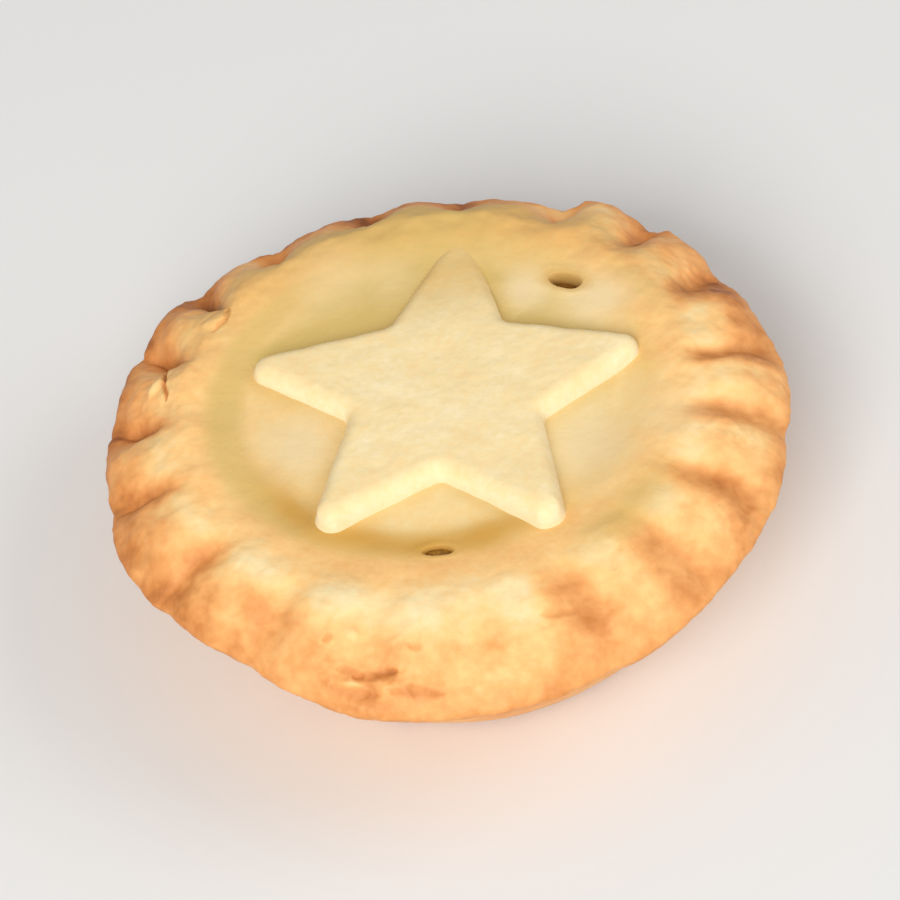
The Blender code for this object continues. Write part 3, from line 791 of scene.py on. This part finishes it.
def olive_and_shade_share(crust, fields, sides):
    """Share of the olive_and_shade tint: painted shade at the rim's foot and on the far rim, the lid's own
    tint deepened by painted shade towards the back, behind the star and at its foot, less in the painted
    reflections, and two corners.
    """
    front, right, back, left = sides
    start, end = [mix(usual, near, front) for usual, near in zip(FOOT_OLIVE_SHADE, NEAR_FOOT_OLIVE_SHADE)]
    # Painted shade: an olive band at the rim's foot, where the lid meets the rising rim
    foot = (0.65 + 0.15 * left - 0.2 * right) * smooth_step(start - 0.0012, start + 0.001, crust.radius)
    foot = foot * (1.0 - smooth_step(end - 0.0012, end + 0.0012, crust.radius))
    # Painted shade: olive on the far rim's inner slope
    far = back * smooth_step(*FAR_OLIVE_SHADE_START, crust.radius)
    far = far * (1.0 - smooth_step(*FAR_OLIVE_SHADE_END, crust.radius))
    # The lid's own olive tint, deepened towards the back as painted shade, plus painted shadow behind the
    # star and painted shade at its foot
    lid = (1.0 - smooth_step(*LID_OLIVE_END, crust.radius)) * (0.26 + 0.74 * back + 0.18 * right)
    lid = lid + (0.7 - 0.4 * right) * fields["shade"] + 0.2 * fields["contact_shade"]
    lid_and_far = 1.0 - (1.0 - 0.8 * far) * (1.0 - np.clip(lid, 0.0, 1.0))
    corners = 0.6 * sum(corner_share(crust, turn) for turn in OLIVE_CORNERS)
    olive_and_shade = np.maximum(np.maximum(foot, lid_and_far), corners)
    olive_and_shade = np.where(crust.above, olive_and_shade * (1.0 - 0.5 * fields["pale"]), 0.0)
    return np.clip(np.maximum(olive_and_shade, 0.4 * fields["halo"]), 0.0, 1.0)


def gold_share(crust, fields):
    """How golden the crust is: a band of painted shade along the lid's near foot, one corner and round the
    vents.
    """
    # Painted shade: a dark golden band along the lid's near foot
    gold = smooth_step(0.0, 0.7, -np.sin(crust.turn))
    gold = gold * (1.0 - 0.8 * smooth_step(0.2, 0.7, np.cos(crust.turn)))
    gold = gold * bell(crust.radius, GOLD_SHADE_RADIUS, BAND_WIDTH) * crust.above
    gold = gold * (1.0 + 0.5 * gradient_noise(crust.places, 0.004, 97))
    gold = np.maximum(0.9 * gold, 0.3 * corner_share(crust, OLIVE_CORNERS[0]) * crust.above)
    return np.clip(np.maximum(gold, 0.5 * fields["halo"]), 0.0, 1.0)


def colour_crust(crust, fields):
    """Adds to the fields those that the crust's colours are mixed by."""
    sides = side_weights(crust.turn)
    fields["bake"] = browning(crust, fields, sides)
    fields["pale"] = pale_reflection_share(crust)
    fields["olive_and_shade"] = olive_and_shade_share(crust, fields, sides)
    fields["gold"] = gold_share(crust, fields)


def add_fields(mesh, fields):
    """Stores the fields on a mesh for its material."""
    for name in CRUST_FIELDS:
        attribute = mesh.attributes.new(name, "FLOAT", "POINT")
        attribute.data.foreach_set("value", fields[name].astype(np.float32))


def add_piece(mesh, material):
    """Puts a piece in the scene under its mesh's name, riding on the pie's one body."""
    obj = bpy.data.objects.new(mesh.name, mesh)
    bpy.context.scene.collection.objects.link(obj)
    mesh.shade_smooth()
    mesh.materials.append(material)
    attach(obj, "root")
    return obj


def detail_spots(places):
    """Where the crust's mesh is split finer: place, size and number of cuts."""
    spots = [(vent[0], VENT_DETAIL_SIZE, 3) for vent in VENTS]
    spots += [(polar_place(degrees, share), size, 1) for degrees, share, size in DETAIL_SPOTS]
    return [(nearest_place(places, spot), size, cuts) for spot, size, cuts in spots]


def make_crust():
    """The whole pie without its star: lid, fluted rim, case and base."""
    mesh = disc_mesh()
    rough = Crust(read_vectors(mesh.vertices, "co"))
    refine(mesh, rough.places, detail_spots(rough.places))
    crust = Crust(read_vectors(mesh.vertices, "co"))
    write_places(mesh, crust.places)
    crust.normals = read_vectors(mesh.vertex_normals, "vector")
    fields = shape_crust(crust)
    colour_crust(crust, fields)
    write_places(mesh, crust.places - np.array([*MIDDLE, 0.0]))
    add_fields(mesh, fields)
    piece = add_piece(mesh, crust_material())
    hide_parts("mince_pie")


# Star
def star_corners():
    """The star's ten corners, arms on even numbers and notches on odd ones."""
    number = np.arange(2 * STAR_ARMS)
    turn = STAR_TURN + number * math.pi / STAR_ARMS + np.radians(STAR_SWERVES)
    radius = np.where(number % 2, STAR_INNER_RADIUS, STAR_RADIUS) * STAR_STRETCHES
    return np.column_stack([radius * np.cos(turn), radius * np.sin(turn)])


def inset_corners(corners, inset):
    """The corners after every side has moved inwards."""
    sides = unit(np.roll(corners, -1, axis=0) - corners)
    inwards = np.column_stack([-sides[:, 1], sides[:, 0]])
    rows = np.stack([np.roll(inwards, 1, axis=0), inwards], axis=1)
    reach = np.einsum("nij,nj->ni", rows, corners) + inset
    return np.linalg.solve(rows, reach[:, :, None])[:, :, 0]


def rounded_outline(corners, inset):
    """The star's outline as points, moved inwards, its corners rounded."""
    moved = inset_corners(corners, inset)
    arcs = []
    for number, corner in enumerate(moved):
        notch = number % 2 == 1
        if notch:
            radius = NOTCH_ROUNDING + inset
        else:
            radius = max(ARM_ROUNDINGS[number // 2] - 0.8 * inset, LEAST_ROUNDING)
        before = moved[number - 1] - corner
        after = moved[(number + 1) % len(moved)] - corner
        before /= np.linalg.norm(before)
        after /= np.linalg.norm(after)
        half = 0.5 * math.acos(float(np.clip(before @ after, -1.0, 1.0)))
        middle = (before + after) / np.linalg.norm(before + after)
        centre = corner + middle * radius / math.sin(half)
        ends = [corner + side * radius / math.tan(half) - centre for side in (before, after)]
        start, end = [math.atan2(y, x) for x, y in ends]
        steps = start + turn_between(end, start) * np.linspace(0.0, 1.0, 9 if notch else 19)
        arcs.append(centre + radius * np.column_stack([np.cos(steps), np.sin(steps)]))
    share = np.linspace(0.0, 1.0, 46)[1:-1, None]
    sides = [mix(arc[-1], after[0], share) for arc, after in zip(arcs, arcs[1:] + arcs[:1])]
    return np.vstack([part for pair in zip(arcs, sides) for part in pair])


def star_surface():
    """The star's points and faces: leaning sides, an evenly rounded edge and a flat top."""
    corners = star_corners()
    rows = []
    heights = []
    for share in np.linspace(0.0, 1.0, 8)[:-1]:
        rows.append(rounded_outline(corners, share * STAR_WALL_RUN))
        heights.append(mix(STAR_FOOT_HEIGHT, STAR_EDGE_HEIGHT, share))
    for turn in np.linspace(0.0, 0.5 * math.pi, 9):
        rows.append(rounded_outline(corners, STAR_WALL_RUN + STAR_EDGE_ROUNDING * (1.0 - math.cos(turn))))
        heights.append(STAR_EDGE_HEIGHT + STAR_EDGE_ROUNDING * math.sin(turn))
    flat = rows[-1]
    for share in np.linspace(1.0, 0.0, 36)[1:-1]:
        rows.append(flat * share)
        heights.append(STAR_TOP_HEIGHT)
    count = len(flat)
    rings = [np.column_stack([row, np.full(count, height)]) for row, height in zip(rows, heights)]
    places = np.vstack(rings + [np.array([[0.0, 0.0, STAR_TOP_HEIGHT]])])
    faces = []
    for ring in range(len(rings) - 1):
        outer = np.arange(count) + ring * count
        after = np.roll(outer, -1)
        faces += np.stack([outer, after, after + count, outer + count], axis=-1).tolist()
    last = (len(rings) - 1) * count
    faces += [[last + k, last + (k + 1) % count, len(places) - 1] for k in range(count)]
    return places, faces


def star_fields(places, sunk):
    """What colours the star, from its places before and after its far arm has sunk: paler sides, partly a
    painted highlight, and painted shade at its foot.
    """
    side = 1.0 - smooth_step(STAR_EDGE_HEIGHT - 0.0002, STAR_TOP_HEIGHT - 0.00005, places[:, 2])
    low = 1.0 - smooth_step(LID_HEIGHT + 0.0001, LID_HEIGHT + 0.0008, places[:, 2])
    reach = np.hypot(places[:, 0], places[:, 1]) / STAR_RADIUS
    far = smooth_step(0.2, 1.0, places[:, 1] / STAR_RADIUS)
    far_arm = smooth_step(0.35, 0.8, places[:, 1] / STAR_RADIUS)
    # The sides are paler than the top: partly paler pastry, partly a painted highlight
    bake = STAR_BAKE + 0.03 * smooth_step(0.5, 1.0, reach) + 0.1 * far_arm - mix(0.14, 0.1, far_arm) * side
    bake = bake + 0.03 * layered_noise(sunk, 0.006, 91, 2)
    # Olive on the top and the far arm, and painted shade at the star's foot
    olive_and_shade = 0.08 * (1.0 - side) + 0.08 * far + 0.34 * far_arm * (1.0 - side) + 0.3 * low
    fields = {name: np.zeros(len(places)) for name in CRUST_FIELDS}
    fields["bake"] = np.clip(bake, 0.0, 1.0)
    fields["olive_and_shade"] = np.clip(olive_and_shade, 0.0, 1.0)
    # Painted shade along the foot of the star's far side
    fields["hollow_shade"] = 0.2 * low * far
    return fields


def make_star():
    """The pastry star, with a slightly uneven top and its far arm sunk towards the lid."""
    places, faces = star_surface()
    mesh = bpy.data.meshes.new("mince_pie_star")
    mesh.from_pydata(places.tolist(), [], faces)
    mesh.update()
    above = smooth_step(STAR_FOOT_HEIGHT, STAR_FOOT_HEIGHT + 0.001, places[:, 2])
    shift = np.zeros(len(places))
    for size, seed, layers, height in STAR_RELIEF:
        shift += height * layered_noise(places, size, seed, layers)
    places = places + read_vectors(mesh.vertex_normals, "vector") * (shift * mix(0.6, 1.0, above))[:, None]
    sunk = places.copy()
    sunk[:, 2] -= FAR_ARM_SINK * smooth_step(0.3, 1.1, places[:, 1] / STAR_RADIUS) * above
    middle = 0.5 * (STAR_TOP_HEIGHT + STAR_FOOT_HEIGHT)
    y, z = turned(sunk[:, 1], sunk[:, 2] - middle, STAR_TILT)
    tilted = np.column_stack([sunk[:, 0], y, z])
    write_places(mesh, tilted + np.array([STAR_CENTRE[0] - MIDDLE[0], STAR_CENTRE[1] - MIDDLE[1], middle]))
    add_fields(mesh, star_fields(places, sunk))
    add_piece(mesh, crust_material())


# Filling
def make_filling(number, place, half_size, turn, depth):
    """A lump of dark fruit filling down a steam vent, its top at the given depth below the lid."""
    bm = bmesh.new()
    bmesh.ops.create_icosphere(bm, subdivisions=5, radius=1.0)
    mesh = bpy.data.meshes.new(f"mince_pie_filling_{number}")
    bm.to_mesh(mesh)
    bm.free()
    ball = read_vectors(mesh.vertices, "co")
    lumps = 1.0 + FILLING_LUMPS * layered_noise(ball + 7.0 * number, 0.9, 131 + number, 3)
    half_sizes = [half_size[0] * FILLING_SPREAD, half_size[1] * FILLING_SPREAD, FILLING_HALF_HEIGHT]
    ball = ball * lumps[:, None] * np.array(half_sizes)
    ball[:, 0], ball[:, 1] = turned(ball[:, 0], ball[:, 1], turn)
    height = LID_HEIGHT - depth - FILLING_HALF_HEIGHT
    write_places(mesh, ball + np.array([place[0] - MIDDLE[0], place[1] - MIDDLE[1], height]))
    add_piece(mesh, filling_material())


# Materials
def linear(red, green, blue):
    """A colour as a shader takes it, from 0 to 255 values as a picture shows it."""
    values = [value / 255.0 for value in (red, green, blue)]
    return tuple(v / 12.92 if v <= 0.04045 else ((v + 0.055) / 1.055) ** 2.4 for v in values) + (1.0,)


BAKE_STOPS = (
    (0.00, linear(253, 240, 206)),
    (0.15, linear(248, 226, 174)),
    (0.35, linear(251, 205, 136)),
    (0.55, linear(243, 174, 104)),
    (0.75, linear(212, 136, 70)),
    (0.9, linear(158, 92, 44)),
    (1.00, linear(96, 52, 24)),
)
# Tints that are mixed in after the browning, in this order: olive with painted shade, pale as painted
# reflections, gold with painted shade, painted shade in hollows, and the vents' colour
TINTS = {
    "olive_and_shade": linear(214, 184, 110),
    "pale": linear(236, 212, 164),
    "gold": linear(206, 158, 74),
    "hollow_shade": linear(142, 74, 16),
    "vent": linear(144, 102, 30),
}
CRUST_FIELDS = ("bake", *TINTS)
FILLING_STOPS = (
    (0.3, linear(104, 64, 16)),
    (0.55, linear(150, 102, 30)),
    (0.75, linear(184, 136, 50)),
)


class Nodes:
    """Short calls for making and joining a material's nodes."""

    def __init__(self, name):
        self.material = bpy.data.materials.new(name)
        self.material.use_nodes = True
        self.tree = self.material.node_tree
        self.shader = self.tree.nodes["Principled BSDF"]
        self.place = self.tree.nodes.new("ShaderNodeTexCoord").outputs["Object"]

    def feed(self, node, inputs):
        """Joins a node's inputs to other nodes' outputs, or sets them to values."""
        for name, value in inputs.items():
            if isinstance(value, bpy.types.NodeSocket):
                self.tree.links.new(value, node.inputs[name])
            else:
                node.inputs[name].default_value = value

    def add(self, kind, inputs, output, **settings):
        """The output of a new node with its inputs and settings."""
        node = self.tree.nodes.new(kind)
        for key, value in settings.items():
            setattr(node, key, value)
        self.feed(node, inputs)
        return node.outputs[output]

    def field(self, name):
        """A mesh field."""
        return self.add("ShaderNodeAttribute", {}, "Fac", attribute_name=name, attribute_type="GEOMETRY")

    def noise(self, scale, detail, roughness=0.6):
        """Noise in the object's own space."""
        inputs = {"Vector": self.place, "Scale": scale, "Detail": detail, "Roughness": roughness}
        return self.add("ShaderNodeTexNoise", inputs, "Fac")

    def map(self, value, low, high, to_low, to_high):
        """A value moved from one range to another, held within it."""
        inputs = {"Value": value, "From Min": low, "From Max": high, "To Min": to_low, "To Max": to_high}
        return self.add("ShaderNodeMapRange", inputs, "Result")

    def mottle(self, value, noise, strength):
        """A value moved up and down by noise."""
        inputs = {0: self.map(noise, 0.25, 0.75, -1.0, 1.0), 1: strength, 2: value}
        return self.add("ShaderNodeMath", inputs, 0, operation="MULTIPLY_ADD")

    def ramp(self, value, stops):
        """A colour ramp over stops of place and colour."""
        node = self.tree.nodes.new("ShaderNodeValToRGB")
        elements = node.color_ramp.elements
        while len(elements) < len(stops):
            elements.new(1.0)
        for element, (place, colour) in zip(elements, stops):
            element.position = place
            element.color = colour
        self.feed(node, {"Fac": value})
        return node.outputs["Color"]

    def blend(self, share, base, colour):
        """A colour mixed into another by a share."""
        return self.add("ShaderNodeMix", {0: share, 6: base, 7: colour}, 2, data_type="RGBA")

    def bump(self, height, strength, distance, **before):
        """A bump, on top of an earlier one if there is one."""
        inputs = {"Height": height, "Strength": strength, "Distance": distance, **before}
        return self.add("ShaderNodeBump", inputs, "Normal")

    def finish(self, colour, skin, roughness, specular, normal):
        """Feeds the shader: roughness lies between two values by the skin's noise. Returns the material."""
        rough = self.map(skin, 0.3, 0.7, *roughness)
        inputs = {"Base Color": colour, "Roughness": rough, "Specular IOR Level": specular, "Normal": normal}
        self.feed(self.shader, inputs)
        return self.material


def crust_material():
    """Baked shortcrust: colour by browning, mottled, tinted with painted shade and painted reflections, with
    freckles, fine pits and a dull skin.
    """
    nodes = Nodes("baked_pastry")
    bake = nodes.field("bake")
    bake = nodes.mottle(bake, nodes.noise(scale=420.0, detail=4.0), 0.055)
    bake = nodes.mottle(bake, nodes.noise(scale=1700.0, detail=3.0), 0.04)
    colour = nodes.ramp(bake, BAKE_STOPS)
    for name, tint in TINTS.items():
        colour = nodes.blend(nodes.field(name), colour, tint)
    pits = nodes.bump(nodes.noise(scale=600.0, detail=4.0), 0.35, 0.00025)
    pits = nodes.bump(nodes.noise(scale=3200.0, detail=3.0), 0.3, 0.00006, Normal=pits)
    skin = nodes.noise(scale=900.0, detail=2.0, roughness=0.5)
    return nodes.finish(colour, skin, PASTRY_ROUGHNESS, PASTRY_SPECULAR, pits)


def filling_material():
    """Dark sticky fruit: brown, mottled and a little glossy."""
    nodes = Nodes("fruit_filling")
    colour = nodes.ramp(nodes.noise(scale=1500.0, detail=3.0), FILLING_STOPS)
    pits = nodes.bump(nodes.noise(scale=2800.0, detail=3.0), 0.5, 0.0001)
    skin = nodes.noise(scale=2500.0, detail=2.0, roughness=0.5)
    return nodes.finish(colour, skin, FILLING_ROUGHNESS, FILLING_SPECULAR, pits)


# Stage, lights and camera
def make_stage():
    """A plain pale floor."""
    bpy.ops.mesh.primitive_plane_add(size=6.0, location=(0.0, 0.0, 0.0))
    floor = bpy.context.object
    floor.name = "floor"
    material = bpy.data.materials.new("floor")
    material.use_nodes = True
    shader = material.node_tree.nodes["Principled BSDF"]
    shader.inputs["Base Color"].default_value = FLOOR_COLOUR
    shader.inputs["Roughness"].default_value = FLOOR_ROUGHNESS
    floor.data.materials.append(material)


def aim(data, height, azimuth, elevation, distance, roll=0.0):
    """Adds a lamp or camera that faces a height above the pie's base; angles in degrees, azimuth from +X."""
    obj = bpy.data.objects.new(data.name, data)
    bpy.context.scene.collection.objects.link(obj)
    turn = Matrix.Rotation(math.radians(azimuth + 90.0), 4, "Z")
    turn = turn @ Matrix.Rotation(math.radians(90.0 - elevation), 4, "X")
    turn = turn @ Matrix.Rotation(math.radians(-roll), 4, "Z")
    target = Matrix.Translation((0.0, 0.0, height))
    obj.matrix_world = target @ turn @ Matrix.Translation((0.0, 0.0, distance))
    return obj


def make_lights():
    """Soft key from the front left, a weak fill from the right and a pale surrounding."""
    for name, azimuth, elevation, distance, size, power, colour in LIGHTS:
        data = bpy.data.lights.new(name, "AREA")
        data.size = size
        data.energy = power
        data.color = colour
        aim(data, LIGHT_TARGET_HEIGHT, azimuth, elevation, distance)
    world = bpy.data.worlds.new("surrounding")
    world.use_nodes = True
    background = world.node_tree.nodes["Background"]
    background.inputs["Color"].default_value = SURROUNDING_COLOUR
    background.inputs["Strength"].default_value = SURROUNDING_STRENGTH
    bpy.context.scene.world = world
    bpy.context.scene.view_settings.view_transform = "Standard"


def make_camera():
    """The photograph's view of the pie."""
    data = bpy.data.cameras.new("camera")
    data.lens = CAMERA_LENS
    data.sensor_width = CAMERA_SENSOR
    data.clip_start = 0.01
    data.clip_end = 20.0
    camera = aim(data, EDGE_HEIGHT, CAMERA_AZIMUTH, CAMERA_ELEVATION, CAMERA_DISTANCE, CAMERA_ROLL)
    camera.matrix_world.translation -= Vector((*MIDDLE, 0.0))
    bpy.context.scene.camera = camera


make_camera()
make_stage()
make_lights()
make_crust()
make_star()
for number, vent in enumerate(VENTS, 1):
    make_filling(number, *vent)
